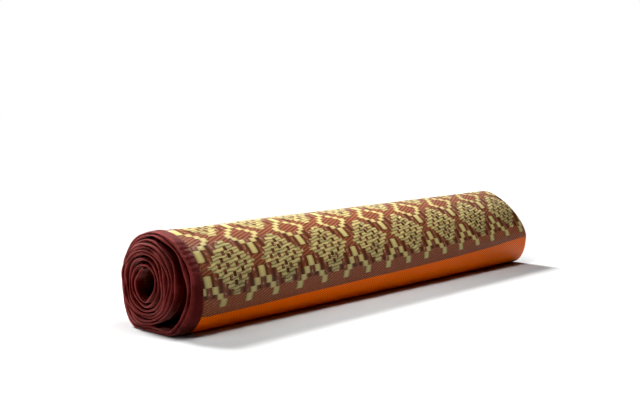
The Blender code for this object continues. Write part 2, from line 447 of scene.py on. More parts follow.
def outline_points(outline, points=60):
    """Points (across, height) of the outline: its flat bottom and four powered quarters.

    A quarter runs from a side to the bottom or the top as powers of a cosine and a sine do."""
    right, top, left, flat, powers = outline
    angle = np.linspace(0.0, math.pi / 2, points)
    parts = [np.stack([np.linspace(*flat, points), np.zeros(points)])]
    for side, bottom in ((right, flat[1]), (left, flat[0])):
        for end, power in zip(((bottom, 0.0), top), powers):
            across = end[0] + (side[0] - end[0]) * np.cos(angle) ** (2 / power)
            height = side[1] + (end[1] - side[1]) * np.sin(angle) ** (2 / power)
            parts.append(np.stack([across, height]))
    return np.concatenate(parts, 1).T * MM


def outline_radius(outline, core, angle):
    """Distance from the core's centre to the outline, at angles from the top towards the left."""
    spoke = outline_points(outline) - core
    around = np.arctan2(-spoke[:, 0], spoke[:, 1]) % math.tau
    order = np.argsort(around)
    return np.interp(angle % math.tau, around[order], np.hypot(*spoke.T)[order], period=math.tau)


def corner_fullness(outline, core, fade, turn):
    """How far the outline stands outside a smooth curve through its top, left, bottom and right."""
    quarters = outline_radius(outline, core, np.arange(4) * math.pi / 2)
    rounded = along_table(np.tile(quarters, (3, 1)), turn % 1.0 + 1.0)
    return smooth(turn, *fade) * (outline_radius(outline, core, math.tau * turn) - rounded)


def lowest_middle(turn, half_thick):
    """The least height of the sheet's middle: each turn further in lies one pitch higher."""
    inner = np.zeros_like(turn)
    for count in range(int(LAST_INNER_TURN)):
        inner += np.clip((LAST_INNER_TURN - count - turn) / FLOOR_RISE, 0.0, 1.0)
    return half_thick + TURN_PITCH * inner


def section(end, turn, half_thick, extra=0.0):
    """The sheet's middle line in one cross-section, as (across, height) at each turn number."""
    rows, outline, core, fade = end
    angle = math.tau * turn
    radius = along_table(rows, turn) * MM + corner_fullness(outline, core, fade, turn) + extra
    if end is NEAR_END:
        for fold, depth, spread in CORE_FOLDS:
            radius = radius - depth * bump_over(turn, fold, spread)
    across = core[0] - radius * np.sin(angle)
    height = core[1] + radius * np.cos(angle)
    return np.stack([across, np.maximum(height, lowest_middle(turn, half_thick))], -1)


def flare(turn):
    """The outer turns open to the right just behind the bound rim."""
    facing = 0.5 - 0.5 * np.sin(math.tau * turn)
    return FLARE * facing**2 * smooth(turn, *FLARE_TURNS)


def rim_place(turn):
    """X of the bound rim. The corner where the last two turns leave the floor is pulled out further."""
    pulls = (bump_over(turn, corner, CORNER_SPREAD) for corner in CORNER_TURNS)
    return -along_table(RIM_OUT, turn) * MM - CORNER_PULL * sum(pulls)


def far_place(turn):
    """X of the plain edge: level round the outer turn and a little further in on the inner ones."""
    return FAR_EDGE - FAR_RECESS * (1.0 - smooth(turn, *RECESS_TURNS))


def middle_surface(turn, distance):
    """The cloth's middle surface at turn numbers and distances from the rim, as (x, across, height).

    The rim's section opens to the root's over the flare length, and the root's runs straight to the plain
    end's along the rest of the width."""
    rim = section(NEAR_END, turn, BINDING_THICK / 2)
    root = section(NEAR_END, turn, MAT_THICK / 2, flare(turn))
    far = section(FAR_END, turn, MAT_THICK / 2)
    opened = smooth(distance, 0.0, FLARE_LENGTH)
    lowered = smooth(distance, SHOULDER, ROOT_LENGTH)
    middle = rim + opened[..., None] * (root - rim)
    middle[..., 1] += (1.0 - lowered) * np.maximum(rim[..., 1] - middle[..., 1], 0.0)
    run = np.maximum(0.0, (distance - ROOT_LENGTH) / (MAT_WIDTH - ROOT_LENGTH))
    middle = middle + run[..., None] * (far - middle)
    along = rim_place(turn) + np.minimum(distance, ROOT_LENGTH)
    along = along + run * (far_place(turn) - along)
    return np.concatenate([along[..., None], middle], -1)


def wound(turn, distance, offset):
    """World points of the wound cloth: the middle surface moved outwards by offset along its normal.

    The normal is the cross product of the surface's two directions, found from points a small step apart."""
    turn, distance, offset = np.broadcast_arrays(turn, distance, offset)
    turn_step, width_step = 0.004, 1.0 * MM
    place = middle_surface(turn, distance)
    round_way = middle_surface(turn + turn_step, distance) - middle_surface(turn - turn_step, distance)
    width_way = middle_surface(turn, distance + width_step) - place
    normal = np.cross(round_way, width_way)
    normal /= np.linalg.norm(normal, axis=-1)[..., None]
    place = place + offset[..., None] * normal
    points = np.stack([place[..., 0], -place[..., 1], place[..., 2]], -1) - BOX_MIDDLE
    points[..., 2] = np.maximum(points[..., 2], 0.0)
    return points


def turns_at_length(end, half_thick, extra, feet_turn):
    """(turn numbers, lengths from the feet) along an end's section: the running length of its middle line."""
    turn = np.linspace(0.0, TURNS + LENGTH_MARGIN, LENGTH_POINTS)
    middle = section(end, turn, half_thick, extra(turn))
    run = np.concatenate([[0.0], np.cumsum(np.linalg.norm(np.diff(middle, axis=0), axis=1))])
    return turn, run - np.interp(feet_turn, turn, run)


def turn_of(length, distance):
    """Turn number of a place in the flat cloth: between the two ends' numbers, by the width."""
    near_turn, near_length = turns_at_length(NEAR_END, MAT_THICK / 2, flare, FEET_NEAR)
    far_turn, far_length = turns_at_length(FAR_END, MAT_THICK / 2, np.zeros_like, FEET_FAR)
    length, distance = np.broadcast_arrays(length, distance)
    run = np.clip((distance - ROOT_LENGTH) / (MAT_WIDTH - ROOT_LENGTH), 0.0, 1.0)
    near = np.interp(length, near_length, near_turn)
    far = np.interp(length, far_length, far_turn)
    return near + run * (far - near)


def unevenness(length, wave, start):
    """A slow wander between -1 and 1 along the tape: two sines whose lengths share no common multiple."""
    along = math.tau * length / wave
    second = SECOND_SHARE * np.sin(SECOND_RATE * along + SECOND_START * start)
    return (np.sin(along + start) + second) / (1.0 + SECOND_SHARE)


def lap(length):
    """How much further the binding reaches over the cloth at a length."""
    return LAP * smooth(-length, *LAP_IN) * (1.0 - smooth(-length, *LAP_OUT))


def thinning(length):
    """How far the tape's rim thins at a length: now and then, up to THINNING on each side."""
    return THINNING * np.clip(THINNING_GAIN * unevenness(length, *THINNING_WANDER), 0.0, 1.0)


def lean(length, distance):
    """How far a thinned rim leans outwards. The lean dies out at the binding's inner edge."""
    from_edge = np.clip(1.0 - distance / BINDING_WIDTH, 0.0, 1.0)
    return LEANING * thinning(length) * unevenness(length, *LEANING_WANDER) * from_edge


def triangle_wave(value, half):
    """Distance from the nearest even multiple of half."""
    return np.abs((value + half) % (2 * half) - half)


def chart_row(length):
    """Place in the chart of a length in mm, mirrored about the stripes and the lattice's middle row."""
    band = STRIPE_MIDDLE + triangle_wave(length - STRIPE_MIDDLE, BAND_LENGTH)
    return LATTICE_MIDDLE - np.abs(band - LATTICE_MIDDLE)


def shares(value, places):
    """Each place's share in a curve through them all: the product of the distances to the other places over
    the same product at the place itself."""
    return np.array([
        np.prod([(value - other) / (here - other) for other in places if other != here], axis=0)
        for here in places
    ])


def chart_place(width, length):
    """Where a place in the flat cloth, in mm, falls in the chart: moved by smooth surfaces of the shifts."""
    by_width = shares(np.clip(width, SHIFT_WIDTHS[0], SHIFT_WIDTHS[-1]), SHIFT_WIDTHS)
    by_length = shares(np.clip(length, SHIFT_LENGTHS[0], SHIFT_LENGTHS[-1]), SHIFT_LENGTHS)
    across, along = (
        np.einsum("l...,w...,lw->...", by_length, by_width, np.array(table))
        for table in (SHIFT_ACROSS, SHIFT_ALONG)
    )
    return width + across, length + along


def is_cream(width, length):
    """1 where the chart has cream straws on top and 0 on the ground, for places in mm."""
    row = chart_row(length)
    starts = np.array([line[0] for line in CHART])
    index = np.clip(np.searchsorted(starts, row, side="right") - 1, 0, len(CHART) - 1)
    inner, outer, diamond = (np.array([line[column] for line in CHART])[index] for column in (1, 2, 3))
    from_bar = triangle_wave(width - FIRST_BAR, REPEAT / 2)
    outline = (from_bar > inner) & (from_bar < outer)
    return (outline | (REPEAT / 2 - from_bar < diamond)).astype(float)


def cloth_object(name, points, faces, uv, material):
    """A smooth mesh object from points, faces and a (width, length) pair for each point."""
    mesh = bpy.data.meshes.new(name)
    mesh.from_pydata(points.tolist(), [], faces)
    corners = np.empty(len(mesh.loops), np.int32)
    mesh.loops.foreach_get("vertex_index", corners)
    layer = mesh.uv_layers.new(name="cloth")
    layer.uv.foreach_set("vector", uv[corners].astype(np.float32).ravel())
    mesh.materials.append(material)
    mesh.shade_smooth()
    return put_in_scene(name, mesh)


def grid_faces(rows, columns):
    """Quads of a grid of points, row by row, closed from the last column to the first."""
    row = np.arange(rows - 1)[:, None] * columns
    column = np.arange(columns)[None, :]
    beside = (column + 1) % columns
    quads = np.stack([row + column, row + beside, row + columns + beside, row + columns + column], -1)
    return quads.reshape(-1, 4)


def feed(tree, socket, value):
    """Links a socket to a field or to another socket, or sets its plain value."""
    value = getattr(value, "socket", value)
    if isinstance(value, bpy.types.NodeSocket):
        tree.links.new(value, socket)
    elif socket.type == "RGBA" and len(value) == 3:
        socket.default_value = (*value, 1.0)
    else:
        socket.default_value = value


class Field:
    """A value that shader nodes work out, so that patterns read as formulas."""

    def __init__(self, tree, socket):
        self.tree, self.socket = tree, socket

    def into(self, node, *others):
        """The node's first output, with this and the others in its first sockets."""
        for socket, value in zip(node.inputs, (self, *others)):
            feed(self.tree, socket, value)
        return Field(self.tree, node.outputs[0])

    def work_out(self, operation, *others):
        node = self.tree.nodes.new("ShaderNodeMath")
        node.operation = operation
        return self.into(node, *others)

    __add__ = partialmethod(work_out, "ADD")
    __sub__ = partialmethod(work_out, "SUBTRACT")
    __mul__ = partialmethod(work_out, "MULTIPLY")
    __truediv__ = partialmethod(work_out, "DIVIDE")
    power = partialmethod(work_out, "POWER")
    sine = partialmethod(work_out, "SINE")
    size = partialmethod(work_out, "ABSOLUTE")
    whole = partialmethod(work_out, "FLOOR")
    part = partialmethod(work_out, "FRACT")
    wave = partialmethod(work_out, "PINGPONG")
    over = partialmethod(work_out, "GREATER_THAN")
    under = partialmethod(work_out, "LESS_THAN")
    most = partialmethod(work_out, "MAXIMUM")
    least = partialmethod(work_out, "MINIMUM")

    def less_from(self, other):
        """other minus this."""
        return (self * -1.0) + other

    def between(self, low, high):
        """low where this is 0, high where it is 1, and a straight line through both."""
        return self * (high - low) + low

    def hump(self, power=1.0):
        """A rounded rib from each whole number to the next: a half sine to a power."""
        rib = (self.part() * math.pi).sine()
        return rib if power == 1.0 else rib.power(power)

    def ease(self, low, high, start=0.0, end=1.0):
        """start below low, end above high and an S curve between."""
        node = self.tree.nodes.new("ShaderNodeMapRange")
        node.interpolation_type = "SMOOTHSTEP"
        return self.into(node, low, high, start, end)

    def chance(self):
        """A fixed random number from 0 to 1 for each value."""
        node = self.tree.nodes.new("ShaderNodeTexWhiteNoise")
        node.noise_dimensions = "1D"
        self.tree.links.new(self.socket, node.inputs["W"])
        return Field(self.tree, node.outputs["Value"])

    def chart_column(self, column):
        """A column of the chart at this row: a ramp of steps over half of the lattice."""
        span = LATTICE_MIDDLE - STRIPE_MIDDLE
        node = self.tree.nodes.new("ShaderNodeValToRGB")
        ramp = node.color_ramp
        ramp.interpolation = "CONSTANT"
        for index, line in enumerate(CHART):
            place = (line[0] - STRIPE_MIDDLE) / span
            stop = ramp.elements[index] if index < 2 else ramp.elements.new(place)
            stop.position = place
            level = (line[column] - NONE) / (CHART_TOP - NONE)
            stop.color = (level, level, level, 1.0)
        self.tree.links.new(((self - STRIPE_MIDDLE) / span).socket, node.inputs["Fac"])
        return Field(self.tree, node.outputs["Color"]).between(NONE, CHART_TOP)


class Finish:
    """A material with one Principled shader, and short calls for the nodes behind it."""

    def __init__(self, name):
        self.material = bpy.data.materials.new(name)
        self.material.use_nodes = True
        self.tree = self.material.node_tree
        self.shader = self.tree.nodes["Principled BSDF"]

    def node(self, kind, **sockets):
        node = self.tree.nodes.new(kind)
        for name, value in sockets.items():
            feed(self.tree, node.inputs[name.replace("_", " ")], value)
        return node

    def cloth_places(self):
        """(width, length) in mm, from the UV map that lays the cloth flat."""
        uv = self.tree.nodes.new("ShaderNodeUVMap")
        uv.uv_map = "cloth"
        parts = self.node("ShaderNodeSeparateXYZ", Vector=uv.outputs["UV"])
        return tuple(Field(self.tree, parts.outputs[axis]) / MM for axis in ("X", "Y"))

    def attribute(self, name):
        node = self.tree.nodes.new("ShaderNodeAttribute")
        node.attribute_name = name
        return Field(self.tree, node.outputs["Fac"])

    def object_places(self):
        return self.tree.nodes.new("ShaderNodeTexCoord").outputs["Object"]

    def noise(self, scale, detail=2.0, roughness=0.5):
        node = self.node(
            "ShaderNodeTexNoise", Vector=self.object_places(), Scale=scale, Detail=detail, Roughness=roughness
        )
        return Field(self.tree, node.outputs["Fac"])

    def wander(self, scale, reach, detail=2.0):
        """A slow shift of up to half of reach either way."""
        return (self.noise(scale, detail) - 0.5) * reach

    def mix(self, share, first, second):
        node = self.tree.nodes.new("ShaderNodeMix")
        node.data_type = "RGBA"
        for index, value in ((0, share), (6, first), (7, second)):
            feed(self.tree, node.inputs[index], value)
        return node.outputs[2]

    def tone(self, colour, level):
        """A colour times a level, which may pass 1."""
        node = self.tree.nodes.new("ShaderNodeVectorMath")
        node.operation = "SCALE"
        feed(self.tree, node.inputs[0], colour)
        feed(self.tree, node.inputs["Scale"], level)
        return node.outputs[0]

    def dress(self, colour, roughness, height=None, **constants):
        """Joins colour, roughness and a height in mm to the shader, and sets its plain values."""
        feed(self.tree, self.shader.inputs["Base Color"], colour)
        feed(self.tree, self.shader.inputs["Roughness"], roughness)
        if height is not None:
            bump = self.node("ShaderNodeBump", Height=height, Distance=MM, Strength=1.0)
            self.tree.links.new(bump.outputs["Normal"], self.shader.inputs["Normal"])
        for name, value in constants.items():
            self.shader.inputs[name.replace("_", " ")].default_value = value
        return self.material


def chart_fields(width, length):
    """The chart as nodes: a place's row, its distance from a bar's middle, and the row's three columns."""
    band = (length - STRIPE_MIDDLE).wave(BAND_LENGTH) + STRIPE_MIDDLE
    row = (band - LATTICE_MIDDLE).size().less_from(LATTICE_MIDDLE)
    from_bar = (width - FIRST_BAR).wave(REPEAT / 2)
    return row, from_bar, *(row.chart_column(column) for column in (1, 2, 3))


def brown_dots(width, row):
    """1 on a diamond's brown dots and 0 beside them."""
    aside = (((width - FIRST_BAR) / REPEAT).part() * REPEAT - REPEAT / 2).size()
    up = (row - DIAMOND_ROW).wave(HALF_ROW)
    return reduce(Field.most, [
        (up - along).size().under(DOT_HALF_ALONG) * (aside - across).size().under(DOT_HALF_ACROSS)
        for along, across in DOTS
    ])


def finger_fields(finish, width, length):
    """Fingers in wavy rows that slant up to the right: (leaf, painted shade, shift of the diamond's side).

    A leaf is the row's rounded rib plus the finger's own, cut off low down, so that its ends are points."""
    rows = (length + finish.wander(75.0, FINGER_WANDER, 1.0) - width * FINGER_SLANT) / FINGER_PITCH
    line = rows.whole()
    run = width / FINGER_LENGTH + line * FINGER_STAGGER + line.chance() * FINGER_JITTER
    leaf = (rows.hump() + run.hump(0.28) - 0.8).ease(0.0, 0.5)
    # Painted shade: each finger lighter along its row's rounded middle and darker in the gaps and at its
    # points, with a random tone from finger to finger
    shade = (line * 3.0 + run.whole()).chance() * 0.4 + rows.hump().between(0.32, 0.82)
    ragged = line.chance().between(-FINGER_RAGGED, FINGER_RAGGED)
    return leaf, shade * leaf.between(0.45, 1.0), ragged


def ground_crests(width, length, from_bar):
    """Three weaves of the ground, each from 0 in the gaps to 1 on the crests: twill, ribs and long floats."""
    twill_row = (length * TWILL_ALONG - width * TWILL_ACROSS) / TWILL_PITCH
    twill_run = (width * TWILL_ALONG + length * TWILL_ACROSS) / TWILL_STITCH
    twill_run = twill_run + twill_row.whole() * TWILL_STAGGER
    twill = twill_row.hump(0.9) * twill_run.hump(0.7).between(0.65, 1.0)
    rib = ((length - width * RIB_SLANT) / RIB_PITCH).hump(0.9)
    float_line = ((from_bar - FLOAT_FIRST) / FLOAT_WIDTH).hump(1.4)
    float_end = ((length + from_bar * FLOAT_SLANT) / FLOAT_LENGTH).hump(0.4)
    return twill, rib, float_line * float_end.between(0.4, 1.0)


def straw_finish(colours):
    """Woven straw: the chart picks cream, brown or orange, and fingers, bars and weaves give relief. Their
    crests and gaps are also painted lighter and darker, with painted highlights: painted light in the colour.
    """
    finish = Finish("woven_straw_finish")
    width, length = finish.cloth_places()
    width = width + finish.wander(28.0, 2.0)
    length = length + finish.wander(21.0, 1.6)
    shown = finish.attribute("reverse").under(0.5) * length.over(INNER_PATTERN)
    row, from_bar, inner, outer, diamond = chart_fields(width, length)
    dots = brown_dots(width, row)

    # Cream straws: the diamonds' fingers and the outline's bars, darker at their margins with the ground:
    # painted shade
    leaf, finger_shade, ragged = finger_fields(finish, width, length)
    from_middle = from_bar.less_from(REPEAT / 2)
    in_diamond = from_middle.under(diamond + ragged) * diamond.over(0.0) * dots.less_from(1.0)
    in_outline = from_bar.over(inner) * from_bar.under(outer)
    cream = in_diamond.most(in_outline) * shown
    bar_line = ((width - FIRST_BAR) / BAR_LINE_PITCH + 0.5).hump(0.5)
    # Painted shade: each bar lighter in its middle and darker towards its sides, with fine lines along it
    bar_shade = ((from_bar - inner) / (outer - inner)).hump(0.8) * 0.5 + bar_line.between(0.52, 0.64)
    # Painted shade: the cream falls to half its tone at its edges
    margin = (from_bar - inner).least(from_bar.less_from(outer)).most((diamond + ragged - from_middle) * 2.0)
    light = (finger_shade * in_diamond + bar_shade * in_outline) * margin.ease(0.0, 1.5, 0.5, 1.0)

    # Ground: twill beside and on the stripe, ribs between the diamonds and long floats elsewhere
    twill, rib, floats = ground_crests(width, length, from_bar)
    in_twill = row.under(TWILL_BELOW)
    in_ribs = (row - RIBBED_ROW).size().under(RIBBED_HALF)
    in_ribs = in_ribs.most((row - DIAMOND_ROW).size().under(DIAMOND_RIBS_HALF))
    in_floats = in_twill.most(in_ribs).less_from(1.0)
    twills, ribs, long_floats = twill * in_twill, rib * in_ribs, floats * in_floats
    # Painted highlights: glints in spots on the floats' crests, on the ribs' crests and on the twill
    glint_spots = finish.noise(520.0, 1.0).ease(0.52, 0.68)
    glint = long_floats.power(8.0) * glint_spots.between(0.08, 0.98) + ribs.power(3.0) * 0.05 + twills * glint_spots * 0.2
    # Painted shade: the brown ground lighter on its crests and darker in its gaps
    level = long_floats * 0.42 + ribs * 0.45 + twills * 0.82 + in_ribs.between(0.22, 0.28)
    level = level * (dots * diamond.over(0.0)).between(1.7, 1.15)
    brown = finish.mix(glint, finish.tone(colours.brown, level), colours.brown_glint)
    # Painted shade: the orange stripe lighter on the twill's crests and darker between them
    orange = finish.tone(colours.orange, twill.between(0.62, 1.22))
    ground = finish.mix(row.under(STRIPE_EDGE), brown, orange)

    # Painted shade: the reverse face and the turns further in are plain dark brown, lighter only on the
    # twill's crests
    plain = finish.tone(colours.brown, twill.between(0.25, 0.55))
    colour = finish.mix(shown, plain, finish.mix(cream, ground, finish.tone(colours.cream, light)))
    raised = leaf * in_diamond * FINGER_HEIGHT + bar_line.between(*BAR_HEIGHT) * in_outline
    low = (twills + ribs + long_floats) * cream.less_from(1.0) * GROUND_HEIGHT
    return finish.dress(
        colour, finish.noise(28.0).between(0.3, 0.45), raised * shown + low, Specular_IOR_Level=0.22,
        Sheen_Weight=0.3, Sheen_Roughness=0.3, Sheen_Tint=(1.0, 0.93, 0.8, 1.0),
    )


def tape_finish(colours):
    """Woven tape: a fine plain weave and a soft mottle, with painted light: lighter on the fold than on the
    walls, which lie more in shade.
    """
    finish = Finish("binding_tape_finish")
    width, length = finish.cloth_places()
    weave = (width / TAPE_WEAVE).hump() * (length / TAPE_WEAVE).hump()
    mottle = finish.noise(260.0, 4.0, 0.6)
    patches = finish.noise(55.0, 2.0).ease(0.32, 0.68, 0.78, 1.16)
    # Painted light: the fold lighter and the walls darker, as light falls on them
    fold_painted_light = (width - FOLD_PLACE).size().ease(2.0, 6.0, 1.25, 0.72)
    level = (weave * 0.25 + mottle.between(0.5, 1.2)) * patches * fold_painted_light
    return finish.dress(
        finish.tone(colours.tape, level), 0.85, weave * 0.12 + mottle * 0.15, Specular_IOR_Level=0.1,
        Sheen_Weight=0.5, Sheen_Roughness=0.45, Sheen_Tint=(1.0, 0.55, 0.5, 1.0),
    )


def thread_finish(colours):
    """Sewing thread: a fine twist that varies its tone and height."""
    finish = Finish("sewing_thread_finish")
    twist = finish.noise(900.0, 2.0)
    return finish.dress(finish.tone(colours.thread, twist.between(0.7, 1.3)), 0.6, twist * 0.05)


def floor_finish(colours):
    """White floor painted darker close to the roll, where the lights are strongest: painted shade that
    deepens the shadows near the roll.
    """
    finish = Finish("floor_finish")
    radius = finish.node("ShaderNodeVectorMath", Vector=finish.object_places())
    radius.operation = "LENGTH"
    level = Field(finish.tree, radius.outputs["Value"]).ease(*FLOOR_REACH, FLOOR_NEAR_LEVEL, 1.0)
    return finish.dress(finish.tone(colours.floor, level), 0.8, Specular_IOR_Level=0.0)


def cloth_columns():
    """(distances from the rim, half thickness at each, columns that the coarse grid keeps).

    The tongue steps up to the full thickness at the shoulder, and the plain edge is rounded."""
    half = MAT_THICK / 2
    inwards, share = np.array(PLAIN_EDGE).T
    rounding = MAT_WIDTH - inwards * MM
    face = np.linspace(SHOULDER, rounding[0], FACE_COLUMNS)
    distance = np.concatenate([[TONGUE_FROM, SHOULDER - SHOULDER_STEP], face, rounding[1:]])
    steps = [SHOULDER - SHOULDER_STEP, SHOULDER, *rounding]
    thick = np.interp(distance, steps, [TONGUE_HALF, half, *(share * half)])
    last = len(distance) - 1
    kept = [0, 1, *range(2, last - 2, COARSE_STEP), last - 2, last - 1, last]
    return distance, thick, kept


def cloth_rows():
    """Lengths of the coarse rows inside the roll, and of the fine rows round the outer turn."""
    coarse = np.linspace(START_EDGE + END_ROUND, FINE_FROM, COARSE_ROWS)
    fine = np.linspace(FINE_FROM, FREE_EDGE - END_ROUND, FINE_ROWS)[1:]
    coarse = np.concatenate([[START_EDGE, START_EDGE + END_STEP], coarse])
    return coarse, np.concatenate([fine, [FREE_EDGE - END_STEP, FREE_EDGE]])


def cloth_face(sizes, rows, columns, thick, side):
    """One face of the cloth over lengths and distances: (points, flat places, mark of the reverse).

    The face lies half a thickness out from the middle surface, less near the ends. On the outer face the
    chart's cream straws stand out further. The sheet follows the binding's lap and lean."""
    run = rows[:, None]
    distance = columns + lap(run) * np.clip(1.0 - np.abs(columns - SHOULDER) / LAP_PULL, 0.0, 1.0)
    taper = np.clip(np.minimum(FREE_EDGE - run, run - START_EDGE) / END_ROUND, 0.0, 1.0)
    offset = thick * (END_THIN + (1.0 - END_THIN) * np.sqrt(taper))
    width, length = chart_place((distance - BINDING_WIDTH) / MM, run / MM)
    if side > 0:
        raised = is_cream(width, length) * (length > INNER_PATTERN)
        raised = raised * (columns > SHOULDER) * (distance < MAT_WIDTH - RELIEF_MARGIN)
        offset = offset + sizes.relief * raised * taper
    points = wound(turn_of(run, distance), distance, side * offset + lean(run, columns))
    return points, np.stack([width, length], -1) * MM, np.full(width.shape, float(side < 0))


def cloth_faces(coarse_rows, fine_rows, kept, columns):
    """Faces of the closed cloth: its coarse and fine grids, the strip between them and a cap at each end."""
    narrow, wide = 2 * len(kept), columns + len(kept)
    first_fine = coarse_rows * narrow
    faces = grid_faces(coarse_rows, narrow).tolist()
    faces += (grid_faces(fine_rows, wide) + first_fine).tolist()
    # Each coarse cell of the strip runs up to all the fine points over it
    last = first_fine - narrow
    spots = [*kept, *range(columns, wide + 1)]
    for index in range(narrow):
        over = [first_fine + place % wide for place in range(spots[index], spots[index + 1] + 1)]
        faces.append([last + index, last + (index + 1) % narrow, *reversed(over)])
    # The caps join the outer face to the inner one
    last = first_fine + (fine_rows - 1) * wide
    for index in range(len(kept) - 1):
        faces.append([index + 1, index, narrow - 1 - index, narrow - 2 - index])
        over = [last + place for place in range(kept[index], kept[index + 1] + 1)]
        faces.append([*over, last + wide - 2 - index, last + wide - 1 - index])
    return faces


def weave_mat(sizes, colours):
    """The mat's cloth as one closed sheet: its outer face, fine round the outer turn, and its inner face."""
    distance, thick, kept = cloth_columns()
    coarse_rows, fine_rows = cloth_rows()
    values = []
    for rows, outer in ((coarse_rows, kept), (fine_rows, range(len(distance)))):
        pair = [
            cloth_face(sizes, rows, distance[list(spots)], thick[list(spots)], side)
            for spots, side in ((outer, 1.0), (kept[::-1], -1.0))
        ]
        values.append([np.concatenate(both, 1) for both in zip(*pair)])
    points, uv, reverse = (
        np.concatenate([grid.reshape(-1, *grid.shape[2:]) for grid in grids]) for grids in zip(*values)
    )
    faces = cloth_faces(len(coarse_rows), len(fine_rows), kept, len(distance))
    item = cloth_object("straw_cloth", points, faces, uv, straw_finish(colours))
    mark = item.data.attributes.new("reverse", "FLOAT", "POINT")
    mark.data.foreach_set("value", reverse.astype(np.float32))
    return item


def binding_rows():
    """Lengths of the binding's rows: coarse inside the roll and six to a stitch round the outer turn."""
    inside = np.arange(START_EDGE, FINE_FROM, COARSE_TAPE_ROW)
    outside = np.arange(FINE_FROM, FREE_EDGE - CLEARANCE, FINE_TAPE_ROW)
    return np.concatenate([inside, outside, [FREE_EDGE]])


def tape_section():
    """The tape's closed section as (distance from the rim, offset): wall, round fold, wall and channel."""
    half = BINDING_THICK / 2
    inside = half - BINDING_WALL
    wall = np.array(TAPE_WALL) * (MM, half)
    bend = np.linspace(math.pi / 2, -math.pi / 2, FOLD_POINTS)
    fold = np.stack([half - half * np.cos(bend), half * np.sin(bend)], 1)
    channel = np.array([
        (BINDING_WIDTH, -inside), (CHANNEL_CORNER, -inside), (CHANNEL_FLOOR, 0.0),
        (CHANNEL_CORNER, inside), (BINDING_WIDTH, inside),
    ])
    return np.concatenate([wall, fold, wall[::-1] * (1.0, -1.0), channel])


def fold_binding(sizes, colours):
    """Tape folded over the rim and carried along it, closed at both ends.

    From the rim inwards slow wanders thin its section, lean it and draw it back. The sewing presses a groove
    into both walls and puckers them, and slanted creases sink into the outer wall low on the front."""
    distance, offset = tape_section().T
    half = BINDING_THICK / 2
    length = binding_rows()[:, None]
    share = distance / BINDING_WIDTH
    on_walls = np.abs(offset) > half - BINDING_WALL
    on_outer_wall = on_walls & (offset > 0.0)
    beat = np.cos(math.tau * length / sizes.stitch_pitch)
    groove = GROOVE_DEPTH * bump_over(distance, sizes.stitch_place, GROOVE_HALF)
    groove = groove * (GROOVE_EVEN + (1.0 - GROOVE_EVEN) * beat)
    swell = np.sin(length / PUCKER_LENGTH + PUCKER_DRIFT * np.sin(length / PUCKER_DRIFT_LENGTH))
    puckers = PUCKER_HEIGHT * swell * smooth(distance, *PUCKER_FADE)
    creased = bump_over(length, CREASED_MIDDLE, CREASED_REACH) * smooth(distance, *CREASE_FADE)
    crease = np.sin(math.tau * (length + CREASE_SLANT * distance) / CREASE_LENGTH) - 1.0
    shaped = offset * (1.0 - thinning(length) * (1.0 - share) / half) + lean(length, distance)
    shaped = shaped - np.sign(offset) * (groove - puckers) * on_walls
    shaped = shaped + CREASE_HEIGHT * crease * creased * on_outer_wall
    most = DRAWING_BACK + (DRAWING_BACK_OUTER - DRAWING_BACK) * smooth(length, *DRAWING_BACK_FADE)
    back = most * (0.5 + 0.5 * unevenness(length, *DRAWING_BACK_WANDER))
    reach = distance + back * (1.0 - share) + lap(length) * share
    points = wound(turn_of(length, np.zeros_like(reach)), reach, shaped)
    around = np.concatenate([[0.0], np.cumsum(np.hypot(np.diff(distance), np.diff(offset)))])
    uv = np.stack(np.broadcast_arrays(around, length), -1)
    rows, columns = points.shape[:2]
    faces = grid_faces(rows, columns)[:, TURNED].tolist()
    faces.append(list(range(columns)))
    faces.append(list(range((rows - 1) * columns, rows * columns))[::-1])
    return cloth_object("side_tape", points.reshape(-1, 3), faces, uv.reshape(-1, 2), tape_finish(colours))


def sew_binding(sizes, colours):
    """Stitches along both walls of the binding: each a short thread that arches from one hole to the next.

    A stitch is a tube of rings. A ring's points lie its girth times an angle's cosine across from the row of
    stitches, and its girth times the angle's sine out from the arch."""
    place, arch, girth = np.array(STITCH_RINGS).T[..., None]
    angle = math.tau * np.arange(STITCH_SIDES) / STITCH_SIDES
    middle = np.arange(START_EDGE + SEWING_MARGIN, FREE_EDGE - SEWING_MARGIN, sizes.stitch_pitch)
    middle = middle[:, None, None]
    distance = sizes.stitch_place + lap(middle) + sizes.stitch_radius * girth * np.cos(angle)
    run = middle + place * sizes.stitch_length / 2 + np.zeros_like(distance)
    height = BINDING_THICK / 2 - GROOVE_DEPTH + sizes.stitch_radius * arch
    out = sizes.stitch_radius * girth * np.sin(angle)
    turn = turn_of(run, np.zeros_like(run))
    points = np.concatenate([wound(turn, distance, side * height + out) for side in (1.0, -1.0)])
    flat = np.stack([distance, run], -1)
    rings, sides = len(place), len(angle)
    starts = np.arange(len(points))[:, None, None] * rings * sides
    caps = np.array([np.arange(sides), (rings - 1) * sides + np.arange(sides)[::-1]])
    faces = (grid_faces(rings, sides)[:, TURNED] + starts).reshape(-1, 4).tolist()
    faces += (caps + starts).reshape(-1, sides).tolist()
    uv = np.concatenate([flat, flat]).reshape(-1, 2)
    return cloth_object("binding_stitches", points.reshape(-1, 3), faces, uv, thread_finish(colours))


def put_in_scene(name, data, place=(0.0, 0.0, 0.0), look=None):
    """An object at a place, turned so that it looks along a direction if one is given."""
    item = bpy.data.objects.new(name, data)
    item.location = place
    if look is not None:
        item.rotation_mode = "QUATERNION"
        item.rotation_quaternion = Vector(look).to_track_quat("-Z", "Y")
    bpy.context.scene.collection.objects.link(item)
    return item


